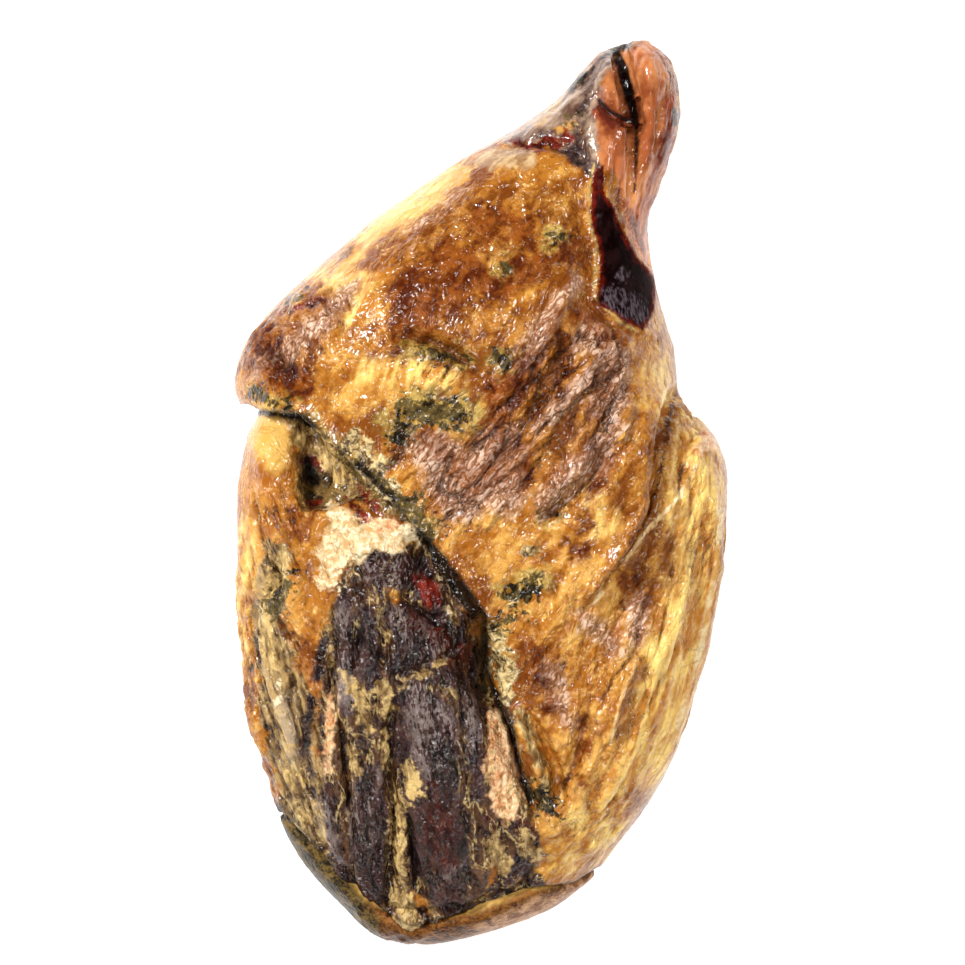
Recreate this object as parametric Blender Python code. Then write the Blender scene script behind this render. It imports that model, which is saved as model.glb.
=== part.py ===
"""A whole boned cured ham, lying on its rind with the cut face up.

The ham is one solid. Its body is a loft between unlike cross sections, and the folds that the boning and
trimming left are pressed into it. The shank points along +Y, and the origin is under the middle of the ham.
Lengths below are in millimetres, and the mesh is in metres.
"""

import bmesh
import bpy
import numpy as np

MM = 0.001

# The mesh: rows along the ham, and columns round each section, most of them on the upper side.
ROWS = 78
UPPER_COLUMNS = 46
LOWER_COLUMNS = 12

# Height that the weight of the ham presses flat where it lies.
PRESSED = 1.6

# Sections, from the butt to the shank: place along the ham, left and right edges, height of the crest,
# height of the widest line, lowest height, and where the crest lies across the width, from -1 to 1.
STATIONS = (
    # y, left, right, crest, widest, lowest, crest_at
    (-223, -50, -6, 46, 25, 12, 0.0),
    (-216, -61, 17, 56, 27, 7, 0.0),
    (-206, -71, 38, 62, 28, 4, 0.0),
    (-192, -84, 56, 68, 29, 2, 0.1),
    (-176, -95, 68, 75, 31, 0, 0.2),
    (-160, -102, 81, 81, 33, 0, 0.3),
    (-138, -109, 94, 87, 35, 0, 0.35),
    (-110, -119, 105, 92, 36, 0, 0.35),
    (-80, -121, 111, 96, 37, 0, 0.35),
    (-50, -123, 117, 100, 38, 0, 0.3),
    (-20, -123, 123, 104, 39, 0, 0.2),
    (6, -123, 123, 108, 40, 0, 0.1),
    (28, -123, 118, 112, 41, 0, 0.1),
    (44, -122, 109, 115, 42, 0, 0.05),
    (52, -123, 98, 116, 42, 0, 0.1),
    (70, -119, 96, 117, 42, 0, 0.1),
    (90, -105, 90, 115, 42, 1, 0.1),
    (112, -83, 85, 109, 43, 4, 0.1),
    (134, -57, 83, 101, 44, 8, 0.1),
    (152, -31, 88, 95, 45, 12, 0.1),
    (166, -11, 93, 91, 47, 15, 0.2),
    (182, 18, 97, 88, 49, 18, 0.2),
    (196, 36, 98, 87, 51, 21, 0.1),
    (208, 47, 96, 84, 53, 26, 0.1),
    (217, 57, 91, 78, 55, 34, 0.0),
    (223, 64, 82, 70, 57, 45, 0.0),
)
BUTT_END = (-28, -226.5, 27)
SHANK_END = (73, 225.5, 58)

# How full a section is: 2 is an ellipse, and more is nearer to a box.
UPPER_FULLNESS = 2.7
LOWER_FULLNESS = 3.2

# Lips: one side of the line drops and rises again over the reach. Each point is x, y and the drop there.
# Going along the line, the side that drops is on the left where low_side is 1 and on the right where it is -1.
LIPS = {
    "boning_cut": dict(
        low_side=-1,
        reach=26,
        points=(
            (-132, 42, 9), (-108, 41, 11), (-97, 38, 13), (-84, 29, 13), (-60, 3, 12), (-36, -17, 13),
            (-20, -34, 18), (-4, -58, 19), (5, -80, 15), (14, -104, 10), (28, -136, 6), (36, -162, 0),
        ),
    ),
    "knuckle_tuck": dict(
        low_side=1,
        reach=18,
        points=((102, 51, 9), (94, 38, 10), (90, 18, 9), (86, 2, 5), (84, -10, 0)),
    ),
    "knuckle_fold": dict(
        low_side=1,
        reach=22,
        points=((110, 14, 0), (90, -10, 6), (72, -34, 9), (58, -54, 6), (44, -82, 0)),
    ),
    "shank_flap": dict(
        low_side=-1,
        reach=14,
        points=((64, 214, 0), (56, 200, 4), (49, 184, 6), (47, 172, 4), (55, 160, 3), (55, 128, 3),
                (58, 104, 3), (60, 95, 3), (80, 80, 0)),
    ),
}

# Where the drop starts and ends, measured across the lip's line.
LIP_RUN = (-5, 9)

# Grooves: x, y and depth at each point, and one half width.
GROOVES = {
    "shank_slit": dict(half_width=5, points=((69, 224, 4), (71, 210, 10), (75, 194, 12), (78, 182, 8), (77, 160, 3), (78, 146, 0))),
    "seam_under_hip": dict(half_width=7, points=((-2, -66, 3), (-1, -84, 8), (-1, -102, 6), (-4, -120, 0))),
    "muscle_seam": dict(half_width=9, points=((-46, -96, 0), (-47, -130, 3), (-42, -160, 5), (-40, -196, 4), (-38, -214, 0))),
}

# Swellings: x, y and height at each point, and one radius.
SWELLINGS = {
    "hip_end": dict(radius=24, points=((-110, 62, 4), (-92, 70, 3))),
    "left_flap": dict(radius=17, points=((-112, 26, 5), (-108, -6, 7), (-98, -40, 5), (-100, -70, 2))),
    "kidney_fat": dict(radius=20, points=((-66, -12, 4), (-50, -24, 5))),
    "inner_muscle": dict(radius=16, points=((-54, -66, 3), (-48, -92, 4))),
    "round_muscle": dict(radius=17, points=((-62, -164, 3), (-54, -186, 4))),
    "top_muscle": dict(radius=26, points=((-18, -112, 3), (-18, -190, 4))),
    "hip_ridge": dict(radius=17, points=((74, 8, 4), (56, -32, 6), (38, -66, 3))),
    "outer_ridge": dict(radius=20, points=((84, -60, 2), (74, -110, 4), (52, -160, 2))),
    "knuckle": dict(radius=20, points=((104, 20, 3), (106, -8, 4))),
}


def smooth_through(at, values, where):
    """Values at `where` of a smooth curve through the given ones, which doesn't overshoot them."""
    at, values = np.asarray(at, float), np.asarray(values, float)
    slopes = np.diff(values) / np.diff(at)
    tangents = np.zeros(len(at))
    for i in range(1, len(at) - 1):
        before, after = slopes[i - 1], slopes[i]
        if before * after > 0:
            tangents[i] = 2 * before * after / (before + after)
    tangents[0], tangents[-1] = slopes[0], slopes[-1]
    i = np.clip(np.searchsorted(at, where) - 1, 0, len(at) - 2)
    span = at[i + 1] - at[i]
    t = (where - at[i]) / span
    return (
        (1 + 2 * t) * (1 - t) ** 2 * values[i]
        + t * (1 - t) ** 2 * span * tangents[i]
        + t**2 * (3 - 2 * t) * values[i + 1]
        + t**2 * (t - 1) * span * tangents[i + 1]
    )


def resampled(line, shares):
    """The points at these shares of an open line's length."""
    steps = np.linalg.norm(np.diff(line, axis=0), axis=1)
    along = np.concatenate([[0], np.cumsum(steps)]) / steps.sum()
    return np.column_stack([np.interp(shares, along, line[:, k]) for k in range(line.shape[1])])


def section(left, right, crest, widest, lowest, crest_at):
    """One section as (x, z) points: from the right edge over the top to the left edge, and back below."""
    across = np.cos(np.linspace(0, np.pi, 200))
    middle, half = (left + right) / 2, (right - left) / 2
    x = middle + half * across
    # The crest moves sideways: each half of the width keeps its edge and stretches to the crest.
    off_crest = np.where(
        across > crest_at, (across - crest_at) / (1 - crest_at), (crest_at - across) / (1 + crest_at)
    )
    top = widest + (crest - widest) * np.sqrt(1 - off_crest**UPPER_FULLNESS)
    bottom = widest - (widest - lowest) * np.sqrt(1 - np.abs(across) ** LOWER_FULLNESS)
    upper = resampled(np.column_stack([x, top]), np.linspace(0, 1, UPPER_COLUMNS + 1))
    lower = resampled(np.column_stack([x, bottom])[::-1], np.linspace(0, 1, LOWER_COLUMNS + 1))
    return np.concatenate([upper[:-1], lower[:-1]])


def lofted_body():
    """The rows of points of the body, and its two end points, before any fold is pressed in."""
    stations = np.array(STATIONS, float)
    # Rows lie closer together towards the blunt ends.
    share = np.linspace(0, 1, ROWS)
    eased = share - 0.05 * np.sin(2 * np.pi * share)
    places = stations[0, 0] + (stations[-1, 0] - stations[0, 0]) * eased
    rows = []
    for y in places:
        sizes = [smooth_through(stations[:, 0], stations[:, k], y) for k in range(1, 7)]
        ring = section(*sizes)
        rows.append(np.column_stack([ring[:, 0], np.full(len(ring), y), ring[:, 1]]))
    return rows


def ham_mesh(rows):
    """A closed mesh through the rows, with a fan of faces at each end."""
    mesh = bmesh.new()
    rings = [[mesh.verts.new(point) for point in row] for row in rows]
    count = len(rings[0])
    for near, far in zip(rings, rings[1:]):
        for i in range(count):
            j = (i + 1) % count
            mesh.faces.new((near[i], near[j], far[j], far[i]))
    for ring, end in ((rings[0], BUTT_END), (rings[-1], SHANK_END)):
        tip = mesh.verts.new(end)
        for i in range(count):
            mesh.faces.new((ring[i], ring[(i + 1) % count], tip))
    bmesh.ops.recalc_face_normals(mesh, faces=mesh.faces)
    return mesh


def near_line(points, line):
    """For each plan point: distance to the line, which side it is on, and the line's own value there."""
    line = np.asarray(line, float)
    best = np.full(len(points), np.inf)
    side = np.zeros(len(points))
    value = np.zeros(len(points))
    for start, end in zip(line, line[1:]):
        run = end[:2] - start[:2]
        rel = points - start[:2]
        t = np.clip(rel @ run / (run @ run), 0, 1)
        away = rel - t[:, None] * run
        distance = np.hypot(away[:, 0], away[:, 1])
        closer = distance < best
        best = np.where(closer, distance, best)
        side = np.where(closer, np.sign(run[0] * rel[:, 1] - run[1] * rel[:, 0]), side)
        value = np.where(closer, start[2] + t * (end[2] - start[2]), value)
    return best, side, value


def ramp(x, low, high):
    t = np.clip((x - low) / (high - low), 0, 1)
    return t * t * (3 - 2 * t)


def pressed_in(plan):
    """How far the lips and grooves take each plan point in, along the surface's normal."""
    inward = np.zeros(len(plan))
    for lip in LIPS.values():
        distance, side, drop = near_line(plan, lip["points"])
        down = distance * side * lip["low_side"]
        inward += drop * ramp(down, *LIP_RUN) * np.exp(-(np.clip(down, 0, None) / lip["reach"]) ** 2)
    for groove in GROOVES.values():
        distance, _, depth = near_line(plan, groove["points"])
        inward += depth * np.exp(-((distance / groove["half_width"]) ** 2))
    return inward


def swollen_out(plan):
    """How far the swellings take each plan point out."""
    outward = np.zeros(len(plan))
    for swelling in SWELLINGS.values():
        distance, _, height = near_line(plan, swelling["points"])
        outward += height * np.exp(-((distance / swelling["radius"]) ** 2))
    return outward


def press_folds(mesh):
    """Moves the upper side's points along their normals, and presses the lowest ones flat."""
    mesh.normal_update()
    points = np.array([vert.co for vert in mesh.verts])
    normals = np.array([vert.normal for vert in mesh.verts])
    plan, height = points[:, :2], points[:, 2]
    # The folds reach down the sides to just above the rest, and the swellings stay off the outline.
    moved = swollen_out(plan) * ramp(height, 42, 62) - pressed_in(plan) * ramp(height, 14, 40)
    points += normals * moved[:, None]
    lowered = points[:, 2] - PRESSED * ramp(-points[:, 2], -12, -PRESSED)
    points[:, 2] = np.where(points[:, 2] < PRESSED, 0, lowered)
    for vert, point in zip(mesh.verts, points):
        vert.co = point * MM


def cured_fat():
    material = bpy.data.materials.new("cured_fat")
    material.use_nodes = True
    shader = material.node_tree.nodes["Principled BSDF"]
    shader.inputs["Base Color"].default_value = (0.52, 0.25, 0.06, 1)
    shader.inputs["Roughness"].default_value = 0.35
    shader.inputs["Metallic"].default_value = 0
    return material


def main():
    for obj in list(bpy.data.objects):
        bpy.data.objects.remove(obj)
    mesh = ham_mesh(lofted_body())
    press_folds(mesh)
    data = bpy.data.meshes.new("ham")
    mesh.to_mesh(data)
    mesh.free()
    data.shade_smooth()
    data.materials.append(cured_fat())
    ham = bpy.data.objects.new("ham", data)
    collection = bpy.data.collections.new("cured_ham")
    bpy.context.scene.collection.children.link(collection)
    collection.objects.link(ham)


main()
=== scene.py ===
import math

import bmesh
import bpy
import numpy as np
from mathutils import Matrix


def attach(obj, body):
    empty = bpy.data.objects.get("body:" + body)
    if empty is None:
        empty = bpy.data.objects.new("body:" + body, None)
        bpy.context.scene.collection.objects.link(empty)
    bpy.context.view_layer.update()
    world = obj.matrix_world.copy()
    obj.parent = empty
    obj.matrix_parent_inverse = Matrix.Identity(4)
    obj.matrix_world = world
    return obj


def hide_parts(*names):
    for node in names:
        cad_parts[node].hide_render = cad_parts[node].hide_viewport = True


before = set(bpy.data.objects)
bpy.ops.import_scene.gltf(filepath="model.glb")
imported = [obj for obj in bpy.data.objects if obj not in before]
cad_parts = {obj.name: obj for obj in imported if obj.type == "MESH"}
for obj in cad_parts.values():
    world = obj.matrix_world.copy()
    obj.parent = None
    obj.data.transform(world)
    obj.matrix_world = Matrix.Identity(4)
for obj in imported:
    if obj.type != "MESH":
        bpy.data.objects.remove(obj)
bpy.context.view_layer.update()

# A boned cured ham on its rind. Places on it are in millimetres, as they line up seen from straight above.
mm = 0.001
perMetre = 1000.0
eyeHeight = 2400        # height of the eye above the ham's widest outline
outlineHeight = 42      # height of that outline
viewCentre = (0, 4.75)
farOutside = -40.0      # what a place beyond a brush stroke's reach is given
strokeReach = 14
areaLimit = 20          # areas are held to this far inside and outside their edge


# Sockets and nodes

class Wire:
    def __init__(self, graph, socket):
        self.graph = graph
        self.socket = socket

    def maths(self, operation, first, second):
        return self.graph.node("ShaderNodeMath", {"operation": operation}, {0: first, 1: second})

    def __add__(self, other):
        return self.maths("ADD", self, other)

    def __sub__(self, other):
        return self.maths("SUBTRACT", self, other)

    def __rsub__(self, other):
        return self.maths("SUBTRACT", other, self)

    def __mul__(self, other):
        return self.maths("MULTIPLY", self, other)

    def __truediv__(self, other):
        return self.maths("DIVIDE", self, other)

    def __rtruediv__(self, other):
        return self.maths("DIVIDE", other, self)

    __radd__ = __add__
    __rmul__ = __mul__

    def size(self):
        return self.maths("ABSOLUTE", self, 0)

    def folds(self):  # a noise as creases: 0 along its middle value, rising to both sides
        return (self - 0.5).size()

    def threads(self, sharpness):  # a noise as thin lines along its middle value
        return 1 - (self.folds() * sharpness).over(0, 1)

    def over(self, low, high):  # 0 below low, 1 above high, smooth between
        return self.graph.node(
            "ShaderNodeMapRange",
            {"interpolation_type": "SMOOTHSTEP"},
            {"Value": self, "From Min": low, "From Max": high},
        )


class Graph:
    def __init__(self, tree):
        self.tree = tree

    def node(self, kind, settings=None, inputs=None, out=0):
        made = self.tree.nodes.new(kind)
        for name, value in (settings or {}).items():
            setattr(made, name, value)
        for key, value in (inputs or {}).items():
            if isinstance(value, Wire):
                self.tree.links.new(value.socket, made.inputs[key])
            else:
                made.inputs[key].default_value = value
        return Wire(self, made.outputs[out])

    def noise(self, place, size, detail=2.0, roughness=0.5, distortion=0.0):  # size is in millimetres
        return self.node(
            "ShaderNodeTexNoise",
            None,
            {
                "Vector": place,
                "Scale": perMetre / size,
                "Detail": detail,
                "Roughness": roughness,
                "Distortion": distortion,
            },
        )

    def turned(self, place, degrees, stretch):  # a pattern that runs along a direction, stretched along it
        along = self.node(
            "ShaderNodeVectorRotate",
            {"rotation_type": "Z_AXIS"},
            {"Vector": place, "Angle": math.radians(-degrees)},
        )
        return self.node(
            "ShaderNodeVectorMath",
            {"operation": "MULTIPLY"},
            {0: along, 1: (1 / stretch, 1, 1)},
        )

    def area(self, name):  # the mesh's own value of that name
        return self.node("ShaderNodeAttribute", {"attribute_name": name}, None, "Fac")

    def place(self):
        return self.node("ShaderNodeTexCoord", None, None, "Object")

    def mix(self, factor, first, second, blend="MIX"):
        first, second = ((*side, 1) if isinstance(side, tuple) else side for side in (first, second))
        return self.node(
            "ShaderNodeMix",
            {"data_type": "RGBA", "blend_type": blend},
            {0: factor, 6: first, 7: second},
            2,
        )


# Meshes as arrays

def pointsOf(mesh):
    flat = np.empty(len(mesh.vertices) * 3)
    mesh.vertices.foreach_get("co", flat)
    return flat.reshape(-1, 3) / mm


def normalsOf(mesh):
    flat = np.empty(len(mesh.vertices) * 3)
    mesh.vertex_normals.foreach_get("vector", flat)
    return flat.reshape(-1, 3)


def withPoints(mesh, points):
    moved = mesh.copy()
    moved.vertices.foreach_set("co", (points * mm).ravel())
    moved.update()
    return moved


def putValues(mesh, name, values):
    held = mesh.attributes.get(name) or mesh.attributes.new(name, "FLOAT", "POINT")
    held.data.foreach_set("value", np.asarray(values, np.float32))


def through(mesh, *steps):  # the mesh after modifiers, each a kind and its settings
    temp = bpy.data.objects.new("temp", mesh)
    bpy.context.scene.collection.objects.link(temp)
    for kind, settings in steps:
        step = temp.modifiers.new(kind, kind)
        for name, value in settings.items():
            if kind == "NODES" and name != "node_group":
                step[socketOf(step.node_group, name)] = value
            else:
                setattr(step, name, value)
    graph = bpy.context.evaluated_depsgraph_get()
    result = bpy.data.meshes.new_from_object(
        temp.evaluated_get(graph), preserve_all_data_layers=True, depsgraph=graph
    )
    bpy.data.objects.remove(temp)
    return result


def socketOf(tree, name):
    for item in tree.interface.items_tree:
        if item.item_type == "SOCKET" and item.in_out == "INPUT" and item.name == name:
            return item.identifier


def ramp(values, low, high):
    t = np.clip((values - low) / (high - low), 0, 1)
    return t * t * (3 - 2 * t)


def seenPlan(points):
    closer = eyeHeight / (eyeHeight - (points[:, 2] - outlineHeight))
    centre = np.array(viewCentre)
    return centre + (points[:, :2] - centre) * closer[:, None]


# Areas and lines on the ham

def insideStrokes(plan, strokes):  # millimetres inside the nearest stroke, whose points are x, y and radius
    best = np.full(len(plan), farOutside)
    for stroke in strokes:
        points = np.array(stroke, float)
        if len(points) == 1:
            points = np.vstack([points, points + (0.1, 0, 0)])
        reach = points[:, 2].max() + strokeReach
        low = points[:, :2].min(axis=0) - reach
        high = points[:, :2].max(axis=0) + reach
        near = np.all((plan > low) & (plan < high), axis=1)
        inside = np.full(near.sum(), farOutside)
        for start, end in zip(points, points[1:]):
            run = (end - start)[:2]
            rel = plan[near] - start[:2]
            t = np.clip(rel @ run / (run @ run), 0, 1)
            away = rel - t[:, None] * run
            here = start[2] + t * (end[2] - start[2]) - np.hypot(away[:, 0], away[:, 1])
            inside = np.maximum(inside, here)
        best[near] = np.maximum(best[near], inside)
    return best


def nearLine(plan, points):  # distance to the line, which side, and the line's own value there
    line = np.array(points, float)
    best = np.full(len(plan), np.inf)
    side = np.zeros(len(plan))
    value = np.zeros(len(plan))
    for start, end in zip(line, line[1:]):
        run = (end - start)[:2]
        rel = plan - start[:2]
        t = np.clip(rel @ run / (run @ run), 0, 1)
        away = rel - t[:, None] * run
        distance = np.hypot(away[:, 0], away[:, 1])
        closer = distance < best
        best = np.where(closer, distance, best)
        side = np.where(closer, np.sign(run[0] * rel[:, 1] - run[1] * rel[:, 0]), side)
        value = np.where(closer, start[2] + t * (end[2] - start[2]), value)
    return best, side, value


def insideOutline(plan, corners):  # millimetres inside a closed outline
    corners = np.array(corners, float)
    crossings = np.zeros(len(plan), bool)
    best = np.full(len(plan), np.inf)
    for start, end in zip(corners, np.roll(corners, -1, axis=0)):
        run = end - start
        rel = plan - start
        t = np.clip(rel @ run / (run @ run), 0, 1)
        away = rel - t[:, None] * run
        best = np.minimum(best, np.hypot(away[:, 0], away[:, 1]))
        spans = (start[1] > plan[:, 1]) != (end[1] > plan[:, 1])
        with np.errstate(divide="ignore", invalid="ignore"):
            crossing = start[0] + (plan[:, 1] - start[1]) * run[0] / run[1]
        crossings ^= spans & (plan[:, 0] < crossing)
    return np.where(crossings, best, -best)


# The boning cut: the fat mantle ends along this line, and the lean face lies below it
boningCut = {
    "edge": [
        (-134, 43), (-120, 43), (-105, 41), (-90, 39), (-84, 34), (-78, 28), (-70, 22), (-62, 12), (-55, 2),
        (-45, -4), (-33, -15), (-28, -23), (-20, -31), (-12, -40), (-2, -54), (3, -62), (3, -75), (3, -88),
        (9, -103), (16, -119), (21, -140), (27, -158), (30, -176), (31, -192), (30, -215),
    ],
    "beyond": [(0, -250), (-150, -250), (-160, 0)],
    "wall": 13.0,       # how far the mantle's own surface goes down behind its edge
    "steepness": 2.6,
    "lip": 5.0,         # how far the mantle swells up along its edge
    "lipWidth": 8.0,
    "lipFrom": (-170, -110),
    "tuck": 11.0,       # how far the lean face goes down under the mantle
    "hollow": 8.0,      # how much deeper the lean face lies beside the mantle's edge
    "hollowWidth": 6.0,
    "hollowFrom": (-170, -120),
    "shade": 4.0,       # width of the painted shade in the hollow beside the mantle's edge
    "shadeFrom": (-165, -150),
    "shadeGap": 4.5,    # the painted shade is lighter along this stretch
    "gapBetween": (-22, -8, 28, 34),
}
pocket = {  # the deep pocket between the left flap and the mantle's edge
    "outline": [
        (-104, 42), (-88, 40), (-78, 30), (-68, 22), (-58, 10), (-50, 0), (-36, -10), (-30, -20), (-42, -14),
        (-56, -6), (-66, -4), (-78, -9), (-90, -9), (-94, 4), (-92, 22), (-97, 36),
    ],
    "depth": 13.0,
}
# Strokes of x, y and radius where shade is painted into the seams and clefts
paintedHollowShade = [
    [(-88, 16, 3), (-84, 6, 4)], [(-86, -2, 3)], [(-28, -24, 3), (-18, -40, 4), (-4, -60, 4)],
    [(0, -68, 2), (0, -84, 2.4), (1, -100, 2)],
    [(66, 222, 1), (71, 210, 2), (72.5, 198, 2.2), (76, 184, 0.6)],
    [(94, 40, 0.6), (91, 26, 0.2)], [(-62, 14, 2), (-44, -4, 2)],
    [(58, 197, 0.8), (59, 193, 1)], [(-104, 41, 1), (-92, 38, 2)],
    [(-99, -158, 0.6), (-84, -175, 0.8), (-57, -205, 0.8), (-36, -217, 0.8), (-8, -210, 1.2),
     (10, -204, 1.4)],
    [(10, -204, 1.4), (27, -198, 1.4), (46, -195, 1), (60, -187, 0.4)],
]

# Creases and ridges: depth or height and half width, then x, y and share of the depth
carving = {
    "gain": 2.2,
    "stepEdge": 0.8,         # half the width of a step's drop
    "fadeIn": (18, 40),      # heights between which the carving comes in
}
reliefLines = [
    (-3.0, 3.0, [(-42, 78, 0.5), (-25, 76, 1), (-15, 70, 1), (-5, 63, 1), (2, 57, 0)]),
    (-2.0, 2.6, [(-118, 60, 0.6), (-104, 64, 1), (-94, 72, 0.3)]),
    (-1.8, 2.2, [(-94, 74, 0), (-78, 90, 1), (-64, 104, 0)]),
    (-1.6, 2.2, [(18, 60, 0), (26, 78, 1), (34, 94, 1), (44, 108, 0)]),
    (1.6, 4.0, [(22, 58, 0), (30, 76, 1), (40, 96, 1), (48, 108, 0)]),
    (-2.2, 3.4, [(20, 32, 0), (28, 48, 1), (38, 62, 1), (41, 82, 0.2)]),
    (2.0, 4.5, [(24, 28, 0), (38, 42, 1), (56, 66, 1), (62, 78, 0)]),
    (-3.0, 2.6, [(28, -16, 0.2), (36, -9, 1), (47, 0, 0.8), (58, 13, 1), (70, 30, 0.3)]),
    (2.2, 4.0, [(24, -12, 0), (34, 0, 1), (50, 14, 1), (64, 34, 0)]),
    (-4.5, 3.4, [(98, 50, 0.8), (94, 38, 1), (91, 22, 1), (88, 4, 0.8), (85, -12, 0.6), (78, -22, 0.2)]),
    (-2.2, 2.2, [(108, 30, 0), (102, 14, 1), (98, -6, 0)]),
    (-2.6, 2.4, [(88, -8, 0.6), (80, -20, 1), (70, -36, 1), (60, -50, 1), (52, -62, 0)]),
    (2.6, 3.2, [(84, -2, 0.4), (76, -18, 1), (64, -36, 1), (54, -52, 0.6)]),
    (-1.8, 2.0, [(62, -104, 0), (68, -92, 1), (78, -80, 0)]),
    (2.4, 3.0, [(62, -130, 0), (66, -112, 1), (74, -92, 1), (80, -80, 0)]),
    (-2.0, 3.0, [(40, -150, 0.4), (48, -128, 1), (54, -104, 0)]),
    (2.2, 3.6, [(119, 4, 0), (116, -36, 1), (108, -78, 1), (94, -126, 0.6), (84, -150, 0)]),
    (-2.6, 3.0, [(126, 0, 0.6), (122, -40, 1), (114, -84, 1), (100, -132, 1), (90, -152, 0.3)]),
    (-3.4, 2.4, [(20, -108, 0), (26, -118, 1), (36, -138, 1), (39, -156, 0.6)]),
    (2.4, 3.6, [(15, -104, 0), (22, -120, 1), (31, -142, 1), (32, -154, 0)]),
    # the lean face
    (-3.0, 2.2, [(-45, -98, 0), (-47, -120, 0.8), (-48, -142, 1), (-44, -165, 1), (-45, -190, 0.8),
                 (-50, -210, 0.2)]),
    (-2.6, 2.2, [(-38, -152, 0), (-36, -175, 1), (-32, -200, 1), (-30, -216, 0)]),
    (-2.8, 2.4, [(-76, -56, 0), (-76, -90, 1), (-72, -120, 1), (-68, -145, 1), (-66, -185, 1),
                 (-66, -206, 0)]),
    (-2.4, 2.0, [(-66, -58, 0), (-63, -76, 1), (-64, -96, 0.6), (-58, -106, 0)]),
    (-2.4, 2.0, [(-50, -58, 0), (-49, -76, 1), (-50, -94, 0)]),
    (-2.2, 2.2, [(-46, -94, 0.4), (-30, -88, 1), (-14, -80, 0.8), (-4, -78, 0)]),
    (-3.0, 2.4, [(-26, -22, 0.4), (-30, -40, 1), (-38, -52, 0.8), (-50, -56, 0)]),
    (-2.2, 2.2, [(-36, -44, 0), (-34, -56, 1), (-22, -64, 1), (-14, -58, 0.4)]),
    (-5.0, 3.4, [(-2, -66, 1), (0, -84, 1), (1, -100, 0.8), (4, -112, 0.2)]),
    (-3.0, 2.8, [(5, -100, 0.8), (14, -120, 1), (19, -140, 1), (24, -156, 0.6)]),
    (-3.2, 3.0, [(-93, 36, 1), (-92, 22, 1), (-92, 4, 1), (-87, -12, 0.8), (-84, -40, 0.5), (-86, -58, 0)]),
    (3.4, 7.0, [(-108, 34, 0.6), (-107, 20, 1), (-106, 4, 0.5), (-104, -20, 0.3)]),
    (2.8, 4.0, [(-86, -2, 0), (-84, -24, 1), (-86, -48, 0)]),
    (-2.0, 3.0, [(-98, -24, 0), (-104, -44, 1), (-114, -64, 0.5)]),
    (3.0, 5.0, [(-88, 26, 0), (-80, 18, 1), (-70, 8, 0.4)]),
    (-6.0, 5.5, [(-86, 16, 1), (-85, 8, 1), (-84, 0, 0.2)]),
    (3.0, 7.5, [(-72, -14, 0.6), (-60, -26, 1), (-46, -30, 0.7)]),
    (-2.4, 2.2, [(-92, -80, 0), (-98, -104, 1), (-90, -140, 1), (-84, -168, 0)]),
    (-2.0, 2.0, [(-84, -100, 0), (-86, -124, 1), (-80, -150, 0)]),
    (-2.6, 2.6, [(-92, -158, 0.3), (-78, -182, 1), (-56, -206, 1), (-30, -212, 1), (-2, -208, 1),
                 (20, -198, 1), (30, -186, 0.2)]),
    # the shank
    (-7.0, 2.6, [(68, 224, 1), (70, 212, 1), (73, 198, 1), (77, 184, 0.7), (77, 172, 0.3), (76, 150, 0.2)]),
    (-3.4, 2.2, [(58, 202, 0.2), (58, 195, 1), (64, 190, 1), (77, 183, 0.8)]),
    (-3.0, 2.2, [(56, 202, 0.6), (51, 192, 1), (48, 178, 1), (50, 166, 0.4)]),
    (-2.4, 2.4, [(64, 220, 0.4), (54, 208, 1), (44, 196, 0.8), (30, 182, 0.4)]),
    (2.4, 3.0, [(60, 216, 0.6), (50, 204, 1), (40, 190, 1), (24, 178, 0.3)]),
    (-2.0, 3.0, [(12, 172, 0.3), (28, 176, 1), (44, 172, 1), (54, 164, 0.4)]),
    (-2.2, 2.0, [(92, 204, 0), (89, 186, 1), (87, 168, 0.5), (86, 150, 0)]),
]

# A sharp step along a line: depth, reach, which side drops, then x, y and share
steps = [
    (4.5, 16.0, 1, [(99, 52, 0.8), (95, 38, 1), (91, 20, 1), (88, 4, 1), (86, -8, 0.4)]),
    (3.6, 14.0, 1, [(90, 0, 0.3), (84, -10, 1), (76, -24, 1), (68, -38, 1), (58, -52, 0.8), (50, -62, 0.2)]),
    (3.0, 9.0, 1, [(66, 166, 0.2), (64, 150, 1), (70, 139, 1), (77, 128, 1), (80, 118, 1), (86, 111, 1),
                   (88, 92, 0.3)]),
    (3.4, 12.0, -1, [(56, 162, 0.4), (53, 150, 1), (53, 138, 1), (57, 123, 1), (58, 112, 1), (56, 96, 1),
                     (68, 85, 1), (80, 79, 0.6)]),
]

wedgeOutline = [
    (61, 165), (61, 151), (65, 143), (69.5, 133), (73, 126), (77, 118), (83, 112), (87, 105), (86, 91),
    (83, 85), (80, 80), (68, 87), (62, 91), (57, 96), (59, 112), (58, 123), (55, 130), (54, 140),
    (54.5, 150), (56, 160),
]

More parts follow.
